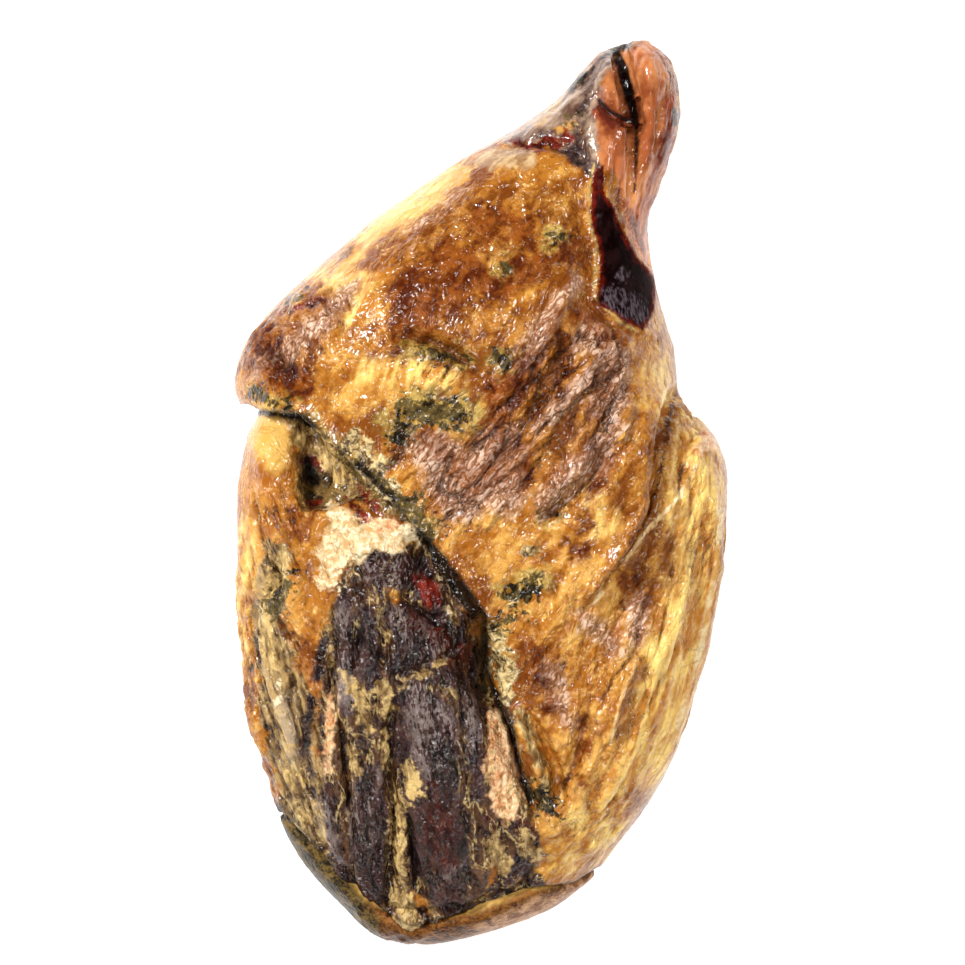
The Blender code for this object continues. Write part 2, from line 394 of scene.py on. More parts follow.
# Where each finish lies: brush strokes of x, y and radius
finishAreas = {
    "gold": [
        [(-66, 122, 4), (-50, 136, 6), (-33, 148, 7), (-15, 160, 6)],
        [(-82, 108, 4), (-58, 106, 5)],
        [(106, 34, 6), (106, 20, 11), (109, -30, 12), (104, -70, 11), (95, -110, 10), (84, -142, 8)],
        [(50, 2, 4), (60, -18, 5)],
        [(88, -78, 7), (84, -108, 7), (70, -150, 5), (60, -176, 8)],
        [(89, 64, 4), (90, 42, 5)],
        [(-118, -16, 3), (-119, -60, 4), (-118, -90, 3)],
        [(-62, 98, 4), (-66, 86, 4)],
        [(-58, 60, 7), (-34, 62, 6), (-14, 54, 5)],
        [(42, -146, 4), (50, -170, 6), (40, -186, 5)],
        [(7, 115, 4)], [(35, 118, 3)], [(44, 78, 4)],
    ],
    "brown": [
        [(-38, 80, 12), (-29, 98, 17), (-12, 112, 15)],
        [(6, 102, 11), (24, 114, 10), (44, 120, 8)],
        [(-66, 122, 4)],
        [(-112, 80, 8), (-104, 64, 10), (-92, 52, 8)],
        [(-94, -10, 4), (-92, -24, 4)],
        [(50, -112, 4), (48, -142, 4)],
        [(24, 38, 4), (32, 52, 5), (38, 62, 5), (40, 80, 5)],
        [(62, 16, 5), (46, -30, 5)],
        [(-24, 24, 8), (-6, 4, 10), (14, 14, 12), (4, 40, 9), (22, 62, 8)],
        [(58, 46, 8), (66, 66, 7), (50, 90, 6)],
        [(70, -44, 7), (80, -56, 5)],
        [(-106, -78, 3), (-94, -94, 4)],
        [(22, 132, 7), (2, 136, 8)],
        [(28, -80, 5), (34, -104, 7), (28, -92, 5)],
    ],
    "olive": [
        [(-34, 41, 7), (-14, 39, 7)], [(-40, 29, 6)],
        [(-70, 18, 2), (-56, 8, 3), (-45, -2, 4), (-26, -20, 4)],
        [(-36, -6, 5)],
        [(16, -53, 5), (25, -46, 5)], [(8, -66, 4), (16, -62, 4)],
        [(31, -13, 2), (37, -7, 3)],
        [(-98, 97, 3), (-92, 100, 3)],
        [(-30, 71, 3), (-10, 66, 3)],
        [(9, 67, 5)], [(11, 112, 2.5)], [(32, 129, 2), (39, 127, 2)], [(46, 186, 2)],
        [(-96, -44, 3), (-104, -58, 5)],
        [(23, -148, 4), (34, -158, 6)],
        [(-114, 50, 3), (-98, 44, 2)],
    ],
    # painted sheen on the wedge
    "wedgeSheen": [[(64, 97, 5), (74, 92, 7), (80, 88, 4)], [(70, 108, 3)]],
    "honey": [
        [(46, -16, 14), (62, -56, 20), (54, -104, 22), (44, -160, 18)], [(20, -26, 8), (16, -60, 8)],
        [(80, 58, 10), (86, 84, 5)], [(-70, 48, 9), (-40, 58, 9)], [(-30, 14, 5), (10, -30, 12)],
    ],
    "rust": [
        [(-34, 122, 10), (0, 136, 16), (30, 136, 14), (46, 118, 8)], [(-92, 58, 12), (-84, 82, 8)],
        [(-4, 88, 16), (16, 78, 10)], [(60, 12, 8), (78, -40, 8)],
        [(-20, 10, 14), (10, 20, 16), (60, 50, 12)],
    ],
    "amberFlap": [[(-112, 14, 9), (-110, -8, 11), (-102, -30, 12), (-96, -54, 8)]],
    "moss": [
        [(-48, 34, 6), (-30, 44, 9), (-10, 40, 9)], [(-66, 20, 4), (-54, 8, 5), (-44, -4, 5), (-26, -20, 5)],
        [(16, -50, 8), (28, -44, 6)], [(-36, 72, 5), (-10, 66, 4)],
        [(9, 66, 6)], [(10, 113, 4)], [(34, 127, 5)],
        [(6, -70, 5), (12, -92, 5)], [(30, -12, 4), (38, -6, 4)], [(-112, 48, 4), (-96, 44, 3)],
        [(-84, 34, 4), (-74, 24, 4)],
    ],
    # painted shade: dark strokes along the folds' creases
    "foldShade": [
        [(97, 50, 1), (93, 36, 1.4), (91, 20, 0.8), (87, 0, 1), (84, -8, 0.6)],
        [(84, -8, 0.6), (70, -34, 0.8), (57, -50, 0.4)],
        [(-42, 78, 1), (-25, 76, 1.8), (-15, 70, 1.8), (0, 58, 1)],
        [(28, -16, 0.6), (36, -9, 1.6), (47, 0, 1.4), (58, 13, 1.4), (68, 28, 0.6)],
        [(25, 40, 1), (31, 52, 2.4), (38, 62, 2.6), (40, 80, 1)], [(100, 14, 0.6), (97, -4, 1)],
        [(-100, 62, 1), (-92, 72, 1)], [(40, -150, 1), (48, -128, 1.4), (54, -104, 0.6)],
        [(60, -104, 0.6), (66, -92, 1.2), (76, -80, 0.6)],
    ],
    "edgeGold": [
        [(-60, 126, 3), (-45, 138, 5), (-29, 148, 6), (-12, 159, 5)], [(-74, 110, 2), (-62, 118, 3)],
    ],
    # painted highlight: pale lines along the fold's lip and the ridges
    "ridgeHighlight": [
        [(107, 14, 0.7), (98, -3, 1), (80, -22, 1), (71, -35, 0.7)], [(60, -50, 0.8), (56, -56, 0.6)],
        [(120, 0, 1), (117, -36, 1.6), (109, -78, 1.4), (95, -126, 1)],
        [(64, -126, 0.4), (68, -108, 0.9), (77, -84, 0.5)],
    ],
    "creamFlap": [[(-108, 36, 8), (-106, 26, 11), (-104, 15, 5)]],
    "cream": [
        [(-74, -8, 4), (-68, -22, 12), (-50, -26, 10), (-36, -20, 6)],
        [(-78, -44, 6), (-76, -30, 8)],
        [(-102, -98, 2), (-100, -104, 2.6)], [(-25, -53, 3), (-19, -60, 3.4)],
    ],
    "wormy": [
        [(-64, 26, 5), (-55, 14, 7), (-46, 2, 5)], [(6, -74, 5), (11, -92, 6), (13, -104, 4)],
        [(24, -30, 4)],
    ],
    "leanBase": [
        [(-60, -36, 8), (-60, -56, 14), (-58, -80, 20), (-60, -130, 24), (-60, -180, 22), (-50, -206, 14)],
        [(-34, -34, 10), (-22, -70, 18), (-20, -120, 26), (-20, -176, 28), (-12, -204, 14)],
        [(6, -104, 6), (14, -150, 8), (18, -180, 12)],
        [(-96, -156, 7), (-80, -182, 9), (-64, -202, 8), (-40, -216, 7), (-8, -212, 6), (22, -200, 6)],
    ],
    "fibre": [
        [(-104, -32, 7), (-108, -62, 8), (-104, -84, 10), (-98, -112, 14), (-92, -140, 12), (-86, -166, 8)],
    ],
    "lean": [
        [(-52, -38, 9), (-34, -40, 9)],
        [(-69, -56, 5), (-69, -80, 6), (-68, -108, 5)],
        [(-57, -62, 5), (-58, -80, 7), (-55, -96, 5)],
        [(-42, -62, 9), (-25, -72, 13), (-10, -84, 10)], [(-36, -84, 10), (-10, -92, 8)],
        [(-36, -102, 8), (-28, -115, 15), (-26, -150, 15), (-20, -185, 15), (-16, -203, 9)],
        [(-6, -100, 7), (-4, -130, 5), (-2, -150, 4)], [(-44, -104, 3), (-44, -130, 4)],
        [(-54, -142, 7), (-57, -165, 10), (-56, -190, 9), (-56, -206, 6)],
        [(-78, -148, 3), (-76, -172, 4), (-70, -196, 4)],
        [(-86, -104, 3), (-90, -130, 3), (-86, -150, 3)], [(-78, -70, 3), (-84, -92, 3)],
        [(6, -200, 4), (18, -186, 5), (26, -193, 5)],
        [(-102, -160, 3), (-88, -178, 4), (-72, -198, 4), (-58, -213, 4)],
        [(-28, -46, 6), (-25, -55, 6)],
    ],
    "red": [
        [(-32, -44, 4), (-25, -54, 5)],
        [(-87, 17, 2.4), (-81, 15, 2.4)],
        [(-68, -3, 1.6), (-58, -13, 2)], [(-62, 2, 1.6), (-54, -8, 1.8)],
        [(15, 175, 2), (28, 173, 3), (42, 177, 3.4)], [(-100, 89, 1.6), (-82, 96, 2)],
        [(-24, -74, 5), (-10, -82, 5)], [(-84, -6, 3)],
    ],
    "maroon": [
        [(12, -160, 3.4), (24, -172, 3.4)], [(2, -162, 2), (6, -171, 2.4)],
        [(-22, -148, 5), (-21, -176, 8), (-18, -202, 7)], [(-24, -74, 6), (-10, -84, 6)], [(-34, -64, 5)],
    ],
    "seam": [
        [(-71, -90, 2), (-62, -104, 4), (-57, -118, 2)], [(-50, -98, 4), (-46, -108, 3)],
        [(-41, -98, 1.4), (-28, -90, 1.4), (-18, -83, 1.4)],
        [(-36, -139, 4), (-34, -151, 4)],
        [(-41, -152, 2), (-41, -188, 2.4), (-40, -205, 5), (-37, -222, 8)],
        [(-94, -142, 6), (-89, -164, 5)], [(-100, -112, 3), (-98, -134, 3)],
        [(19, -110, 2.4), (26, -130, 3), (32, -146, 2.4)],
        [(-92, 28, 4), (-80, 22, 5), (-72, 10, 4), (-64, 0, 2)],
        [(-100, -32, 4), (-108, -62, 4), (-104, -86, 4)],
        [(22, -172, 3), (26, -182, 3)], [(6, -176, 4), (10, -188, 4)],
        [(-76, -60, 1.2), (-76, -86, 1.6)], [(-48, -120, 1), (-49, -136, 1.4)],
        [(-82, -160, 2), (-78, -186, 2)], [(-66, -128, 2), (-62, -140, 2)],
    ],
    "pink": [
        [(7, -112, 4), (10, -130, 8), (12, -150, 9), (13, -160, 5)],
        [(-75, -98, 2), (-76, -118, 2.4), (-77, -138, 2)],
        [(-10, -224, 2), (4, -219, 2.4), (28, -209, 3), (44, -201, 2)],
        [(-56, -16, 2.4), (-44, -16, 2.4)],
        [(114, 44, 5), (117, 30, 5), (110, 22, 3)],
    ],
    "shank": [
        [(84, 217, 9), (82, 200, 10), (86, 182, 9), (87, 165, 8), (84, 152, 6)],
        [(66, 210, 5), (67, 196, 9), (66, 180, 11), (65, 168, 8)], [(74, 218, 5), (78, 206, 5)],
        [(72, 162, 7), (77, 147, 6), (83, 130, 5), (88, 114, 5), (91, 98, 3)],
    ],
    "salmon": [[(70, 164, 4), (73, 148, 4.4), (76, 136, 4.4), (79, 124, 4), (85, 114, 3)]],
    "shankMid": [
        [(65, 208, 3), (62, 193, 5), (64, 182, 5)], [(88, 176, 4), (87, 158, 3)],
        [(80, 212, 2), (83, 200, 2.4)], [(70, 180, 2), (76, 173, 2.6)],
    ],
    "oliveRim": [
        [(56, 165, 0.4), (53, 150, 0.8), (53, 138, 0.8), (57, 123, 0.8), (56, 98, 0.8), (70, 84, 0.8),
         (78, 80, 0.6)],
    ],
    "shankRed": [
        [(94, 200, 2.4), (93, 182, 3.4), (91, 166, 2.6)],
        [(58, 190, 3), (66, 184, 4), (74, 188, 2)],
        [(68, 150, 1.6), (76, 134, 1.8), (80, 122, 1.6)], [(84, 146, 2), (82, 130, 2)],
    ],
    "membrane": [
        [(64, 218, 4), (54, 206, 6), (44, 192, 6), (34, 184, 3)], [(36, 178, 4), (46, 176, 5), (52, 168, 4)],
        [(57, 200, 4), (53, 186, 5), (54, 172, 4)], [(14, 177, 4), (32, 180, 5)],
    ],
    "purple": [
        [(30, 178, 2), (44, 171, 5), (55, 162, 4)], [(54, 202, 1.4), (48, 186, 2.6), (46, 176, 3)],
        [(62, 219, 1), (52, 208, 1.6)],
    ],
    "slit": [
        [(66, 221, 2.2), (70, 211, 2.8), (73, 200, 2.6), (77, 184, 1.6)],
        [(77, 184, 0.8), (77, 172, 0.8), (76, 150, 0.6)], [(58, 196, 1), (64, 190, 1.2), (76, 184, 1)],
    ],
    "tan": [
        [(22, 185, 5), (34, 191, 6), (42, 197, 4)], [(0, 166, 4), (22, 168, 5)],
        [(66, 207, 1.6), (63, 211, 1.6)],
    ],
    "darkTip": [
        [(66, 222, 3), (73, 224, 3)], [(44, 203, 3), (50, 208, 2.4)], [(96, 190, 1.6), (97, 184, 1.6)],
    ],
    # painted sheen on the lean: strokes where a reflection is painted
    "leanSheen": [
        [(-32, -102, 7), (-24, -120, 11), (-22, -140, 8)], [(-58, -142, 5), (-62, -160, 6), (-60, -182, 4)],
        [(-56, -38, 6), (-40, -40, 8), (-30, -36, 4)], [(-44, -62, 5), (-36, -72, 5)],
        [(-71, -62, 4), (-72, -84, 5), (-68, -104, 4)], [(-60, -66, 3), (-57, -74, 3)],
        [(-96, -104, 5), (-96, -132, 5)], [(-16, -76, 4), (-30, -80, 5)], [(-8, -108, 4), (-6, -128, 4)],
        [(-78, -156, 3), (-76, -184, 4)], [(-20, -196, 4), (-10, -190, 3)], [(-90, -170, 3), (-76, -190, 3)],
    ],
    # painted sheen: strokes where a reflection is painted on the fat
    "sheen": [
        [(-36, 127, 1.6), (-25, 138, 2.4), (-10, 150, 2)],
        [(-92, 76, 3), (-78, 88, 5), (-62, 103, 3)], [(-112, 64, 3), (-98, 70, 4)],
        [(22, 62, 2.4), (28, 78, 3.4), (35, 92, 3.4), (46, 107, 2.4)],
        [(27, 32, 2.4), (40, 44, 3.4), (57, 66, 2.4)],
        [(-26, 20, 10), (-10, 0, 14), (8, 20, 12), (12, -2, 9)],
        [(62, 46, 10), (66, 64, 8), (52, 78, 7)],
        [(32, -6, 6), (50, 12, 6), (68, 32, 5)],
        [(80, -56, 4), (76, -70, 5)], [(52, -64, 5), (66, -78, 5)], [(34, -90, 6), (42, -115, 5)],
    ],
}

# These stay off the flanks
topOnly = ["olive", "moss", "red", "maroon", "ridgeHighlight", "foldShade", "sheen", "wormy", "brown", "tan"]
flankFade = 9            # how far they draw in there

# Where the surface is wrinkled, which way the wrinkles run, how long they are, and how deep
wrinkleAreas = {
    "wrinkleMiddle": (
        52, 2.6, 1.0,
        [[(-40, 18, 8), (-10, 0, 22), (10, 24, 22), (30, 60, 18), (56, 66, 16), (60, 40, 16)],
         [(-20, 60, 10)]],
    ),
    "wrinkleRight": (
        72, 3.0, 0.6,
        [[(40, 0, 14), (62, 26, 14)],
         [(96, 30, 14), (100, -20, 18), (84, -70, 20), (60, -110, 22), (50, -160, 20)],
         [(30, -90, 14), (50, -50, 16)]],
    ),
    "wrinkleLean": (
        97, 3.0, 0.6,
        [[(-70, -50, 16), (-66, -100, 22), (-60, -150, 24), (-40, -200, 24)],
         [(-20, -80, 18), (-16, -130, 22), (-6, -190, 22)], [(16, -120, 10), (20, -160, 12)]],
    ),
    "wrinkleFlap": (
        112, 3.4, 0.8,
        [[(-104, -10, 12), (-106, -60, 16), (-102, -110, 16), (-92, -150, 14)],
         [(-100, 70, 14), (-76, 92, 12)]],
    ),
    "wrinkleShank": (
        82, 4.0, 0.35,
        [[(84, 214, 12), (84, 180, 12), (80, 150, 10)], [(60, 200, 12), (58, 176, 14), (70, 140, 10)]],
    ),
}
lumpAreas = [
    [(-72, -14, 8), (-56, -28, 14), (-40, -24, 8)], [(-60, 22, 8), (-48, 0, 9)],
    [(12, -12, 6), (24, -26, 9)], [(8, -86, 9)],
    [(-88, 24, 6), (-74, 8, 8)], [(-70, -104, 8), (-50, -102, 6)],
]


# The three skins of the ham: the fat mantle, the lean face and the rind under them

skins = {
    "fatMantle": {"voxel": 0.95, "triangles": 196000, "cutFrom": -999, "cutTo": 9},
    "leanFace": {"voxel": 0.80, "triangles": 190000, "cutFrom": -16, "cutTo": 999},
    "rind": {"voxel": 1.8, "triangles": 70000, "cutFrom": -999, "cutTo": 999},
    "quickVoxel": 1.4,
    "rindTop": 24.0,     # height of the rind's trimmed edge
    "rindEdge": 1.2,     # half the width of that edge
    "rindWaves": ((3, 17), (2, 7.3), 11),
    "rindProud": 1.2,    # how far the rind stands out past the fat
    "mantleIn": 2.2,     # how far each skin draws in where another covers it
    "leanIn": 3.2,
    "rindIn": 24.0,
}

rindBand = [  # the rind turned up round the butt
    (-112, -146), (-101, -160), (-86, -177), (-72, -194), (-58, -207), (-36, -219), (-8, -212), (10, -205),
    (27, -198), (46, -196), (60, -187), (72, -176), (110, -200), (60, -260), (-120, -260), (-150, -150),
]
rindAreas = {
    "bandBrown": [[(-70, -214, 12), (-30, -226, 14), (0, -222, 12), (40, -208, 12), (66, -190, 8)]],
    "bandPink": [[(4, -224, 8), (24, -214, 8), (46, -203, 7), (60, -193, 4)]],
    "bandDark": [[(-112, -150, 14), (-94, -178, 14), (-76, -204, 14), (-60, -218, 9)]],
}


meshLayers = ("position", ".edge_verts", ".corner_vert", ".corner_edge")


def hamSurface():
    made = bmesh.new()
    made.from_mesh(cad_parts["ham"].data)
    bmesh.ops.remove_doubles(made, verts=made.verts, dist=1e-6)
    bmesh.ops.join_triangles(
        made, faces=made.faces, angle_face_threshold=math.pi, angle_shape_threshold=math.pi
    )
    bmesh.ops.recalc_face_normals(made, faces=made.faces)
    mesh = bpy.data.meshes.new("surface")
    made.to_mesh(mesh)
    made.free()
    for layer in list(mesh.attributes):
        if not layer.is_required and layer.name not in meshLayers:
            mesh.attributes.remove(layer)
    return through(mesh, ("SUBSURF", {"levels": 2, "render_levels": 2}))


def insideMantle(plan):
    return insideOutline(plan, boningCut["edge"] + boningCut["beyond"])


def carved(points, normals):  # creases, ridges and steps, as a distance along the normal
    plan = seenPlan(points)
    out = np.zeros(len(points))
    for height, width, line in reliefLines:
        distance, _, share = nearLine(plan, line)
        out += carving["gain"] * height * share * np.exp(-((distance / width) ** 2))
    for depth, reach, lowSide, line in steps:
        distance, side, share = nearLine(plan, line)
        down = distance * side * lowSide
        drop = ramp(down, -carving["stepEdge"], carving["stepEdge"])
        out -= depth * share * drop * np.exp(-np.clip(down, 0, None) / reach)
    return out * ramp(points[:, 2], *carving["fadeIn"]) * ramp(normals[:, 2], -0.2, 0.2)


def skinOffsets(points, normals):  # how far each skin stands from the surface, along the normal
    plan = seenPlan(points)
    height = points[:, 2]
    along = plan[:, 1]
    cut = insideMantle(plan)
    band = ramp(insideOutline(plan, rindBand), -0.8, 0.8)
    upper = ramp(height, skins["rindTop"] - 6, skins["rindTop"] + 10) * (1 - band)
    relief = carved(points, normals)

    wall = boningCut["wall"] * ramp(cut, -0.6, boningCut["steepness"])
    lip = boningCut["lip"] * ramp(cut, -boningCut["lipWidth"], 1) * ramp(along, *boningCut["lipFrom"])
    lip = lip * ramp(normals[:, 2], 0.3, 0.8)
    mantle = relief + lip - wall * upper - skins["mantleIn"] * (1 - upper)

    tuck = boningCut["tuck"] * ramp(-cut, 2, 10)
    hollow = boningCut["hollow"] * np.exp(-(((cut - 3) / boningCut["hollowWidth"]) ** 2))
    hollow = hollow * ramp(along, *boningCut["hollowFrom"])
    pocketDepth = pocket["depth"] * ramp(insideOutline(plan, pocket["outline"]), -1, 5) * upper
    lean = relief - pocketDepth - tuck - hollow * upper - skins["leanIn"] * (1 - upper)

    (tall, long), (low, short), slant = skins["rindWaves"]
    edge = tall * np.sin(points[:, 1] / long) + low * np.sin(points[:, 1] / short + points[:, 0] / slant)
    edge = edge + skins["rindTop"]
    rindUp = ramp(height, edge - skins["rindEdge"], edge + skins["rindEdge"]) * (1 - band)
    rind = skins["rindProud"] * (1 - rindUp) * ramp(height, 1, 8) - skins["rindIn"] * rindUp
    return {"fatMantle": mantle, "leanFace": lean, "rind": rind}


def paintedShadeDepth(plan):  # millimetres inside the painted shade under the mantle's edge and in the seams
    cut = insideMantle(plan)
    along = plan[:, 1]
    under = np.minimum(cut + 0.6, boningCut["shade"] - cut)
    under = np.minimum(under, 20 * ramp(along, *boningCut["shadeFrom"]) - 10)
    start, full, fading, end = boningCut["gapBetween"]
    under -= boningCut["shadeGap"] * ramp(along, start, full) * (1 - ramp(along, fading, end))
    return np.maximum(under, insideStrokes(plan, paintedHollowShade))


def putReliefAreas(mesh):
    plan = seenPlan(pointsOf(mesh))
    for name, (_, _, _, strokes) in wrinkleAreas.items():
        putValues(mesh, name, ramp(insideStrokes(plan, strokes), -7, 4))
    putValues(mesh, "lumps", ramp(insideStrokes(plan, lumpAreas), -4, 3))


def putFinishAreas(mesh):
    plan = seenPlan(pointsOf(mesh))
    down = flankFade * (1 - ramp(normalsOf(mesh)[:, 2], -0.1, 0.4))
    areas = {name: insideStrokes(plan, strokes) for name, strokes in (finishAreas | rindAreas).items()}
    for name in topOnly:
        areas[name] = areas[name] - down
    areas["band"] = insideOutline(plan, rindBand)
    areas["pocket"] = insideOutline(plan, pocket["outline"])
    areas["wedge"] = insideOutline(plan, wedgeOutline)
    # painted shade: how far inside the dark under the mantle's edge and in the seams
    areas["hollow"] = paintedShadeDepth(plan)
    for name, inside in areas.items():
        putValues(mesh, name, np.clip(inside, -areaLimit, areaLimit))


reliefSizes = {  # heights and sizes in millimetres
    "Swell": 1.1,
    "Swell size": 26.0,
    "Mottle": 0.5,
    "Mottle size": 7.0,
    "Pit": 0.22,
    "Pit size": 2.6,
    "Fold": 20.0,
    "Fold size": 14.0,
    "Wrinkle": 9.0,
    "Wrinkle size": 6.0,
    "Crinkle": 4.5,
    "Crinkle size": 0.45,    # as a share of the wrinkles' size
    "Rest": 0.07,            # how far the creases reach below the surface, as a share of their height
    "Lump": 2.4,
    "Lump size": 6.5,
}


def reliefTree():
    tree = bpy.data.node_groups.new("meatRelief", "GeometryNodeTree")
    tree.interface.new_socket("Geometry", in_out="INPUT", socket_type="NodeSocketGeometry")
    tree.interface.new_socket("Geometry", in_out="OUTPUT", socket_type="NodeSocketGeometry")
    for name, value in reliefSizes.items():
        tree.interface.new_socket(name, in_out="INPUT", socket_type="NodeSocketFloat").default_value = value
    tree.interface.new_socket("Material", in_out="INPUT", socket_type="NodeSocketMaterial")
    graph = Graph(tree)
    given = tree.nodes.new("NodeGroupInput")
    value = {name: Wire(graph, given.outputs[name]) for name in reliefSizes}
    place = graph.node("GeometryNodeInputPosition")

    def noise(where, size, detail=2.0):
        return graph.node(
            "ShaderNodeTexNoise", None, {"Vector": where, "Scale": perMetre / size, "Detail": detail}
        )

    def area(name):
        return graph.node("GeometryNodeInputNamedAttribute", {"data_type": "FLOAT"}, {"Name": name})

    relief = (noise(place, value["Swell size"]) - 0.5) * 2 * value["Swell"]
    relief = relief + (noise(place, value["Mottle size"], 3.0) - 0.5) * 2 * value["Mottle"]
    relief = relief + (noise(place, value["Pit size"], 1.0) - 0.5) * 2 * value["Pit"]
    for name, (degrees, stretch, depth, _) in wrinkleAreas.items():
        along = graph.turned(place, degrees, stretch)
        wide = noise(graph.turned(place, degrees, stretch * 1.5), value["Fold size"], 1.0)
        fold = noise(along, value["Wrinkle size"], 2.0)
        fine = noise(along, value["Wrinkle size"] * value["Crinkle size"], 1.0)
        wrinkles = (wide.folds() - value["Rest"]) * value["Fold"]
        wrinkles = wrinkles + (fold.folds() - value["Rest"]) * value["Wrinkle"]
        wrinkles = wrinkles + (fine.folds() - value["Rest"]) * value["Crinkle"]
        relief = relief + wrinkles * depth * area(name)
    cells = graph.node(
        "ShaderNodeTexVoronoi",
        {"feature": "SMOOTH_F1"},
        {"Vector": place, "Scale": perMetre / value["Lump size"], "Smoothness": 0.25},
    )
    relief = relief + (0.55 - cells) * value["Lump"] * area("lumps")

    low = graph.node("ShaderNodeSeparateXYZ", None, {"Vector": place}, "Z") * perMetre
    relief = relief * low.over(1.5, 14.0)
    normal = graph.node("GeometryNodeInputNormal")
    moved = graph.node(
        "ShaderNodeVectorMath", {"operation": "SCALE"}, {0: normal, "Scale": relief * mm}
    )
    stored = graph.node(
        "GeometryNodeStoreNamedAttribute",
        {"data_type": "FLOAT", "domain": "POINT"},
        {"Geometry": Wire(graph, given.outputs["Geometry"]), "Name": "relief", "Value": relief},
    )
    shaped = graph.node("GeometryNodeSetPosition", None, {"Geometry": stored, "Offset": moved})
    whole = graph.node("GeometryNodeRealizeInstances", None, {"Geometry": shaped})
    coated = graph.node(
        "GeometryNodeSetMaterial",
        None,
        {"Geometry": whole, "Material": Wire(graph, given.outputs["Material"])},
    )
    result = tree.nodes.new("NodeGroupOutput")
    tree.links.new(coated.socket, result.inputs["Geometry"])
    return tree


def addPiece(name, mesh):
    piece = bpy.data.objects.new(name, mesh)
    bpy.context.scene.collection.objects.link(piece)
    return piece


def trimmed(mesh, kept):  # the mesh without the points that aren't kept, closed again
    made = bmesh.new()
    made.from_mesh(mesh)
    made.verts.ensure_lookup_table()
    bmesh.ops.delete(made, geom=[made.verts[i] for i in np.flatnonzero(~kept)], context="VERTS")
    bmesh.ops.holes_fill(made, edges=[edge for edge in made.edges if edge.is_boundary], sides=0)
    made.to_mesh(mesh)
    made.free()
    return mesh


def makeSkin(name, surface, offsets, tree, material):
    sizes = skins[name]
    points = pointsOf(surface) + normalsOf(surface) * offsets[:, None]
    points[:, 2] = np.maximum(points[:, 2], 0)
    cut = insideMantle(seenPlan(pointsOf(surface)))
    kept = (cut > sizes["cutFrom"]) & (cut < sizes["cutTo"])
    skin = withPoints(surface, points)
    if not kept.all():
        skin = trimmed(skin, kept)
    voxel = sizes["voxel"] * 1
    even = through(
        skin,
        ("REMESH", {"mode": "VOXEL", "voxel_size": voxel * mm, "use_smooth_shade": True}),
        ("SMOOTH", {"factor": 0.5, "iterations": 2}),
    )
    putReliefAreas(even)
    formed = through(even, ("NODES", {"node_group": tree, **reliefSizes, "Material": material}))
    count = sum(len(face.vertices) - 2 for face in formed.polygons)
    if count > sizes["triangles"]:
        share = sizes["triangles"] / count
        formed = through(formed, ("DECIMATE", {"ratio": share, "use_collapse_triangulate": True}))
    formed.shade_smooth()
    putFinishAreas(formed)
    print(name, count, "triangles before thinning,", len(formed.polygons), "after")
    return addPiece(name, formed)


# Materials

def newMaterial(name):
    material = bpy.data.materials.new(name)
    material.use_nodes = True
    material.node_tree.nodes.clear()
    return material, Graph(material.node_tree)


def finishMaterial(material, graph, shader):
    out = material.node_tree.nodes.new("ShaderNodeOutputMaterial")
    material.node_tree.links.new(shader.socket, out.inputs["Surface"])
    return material


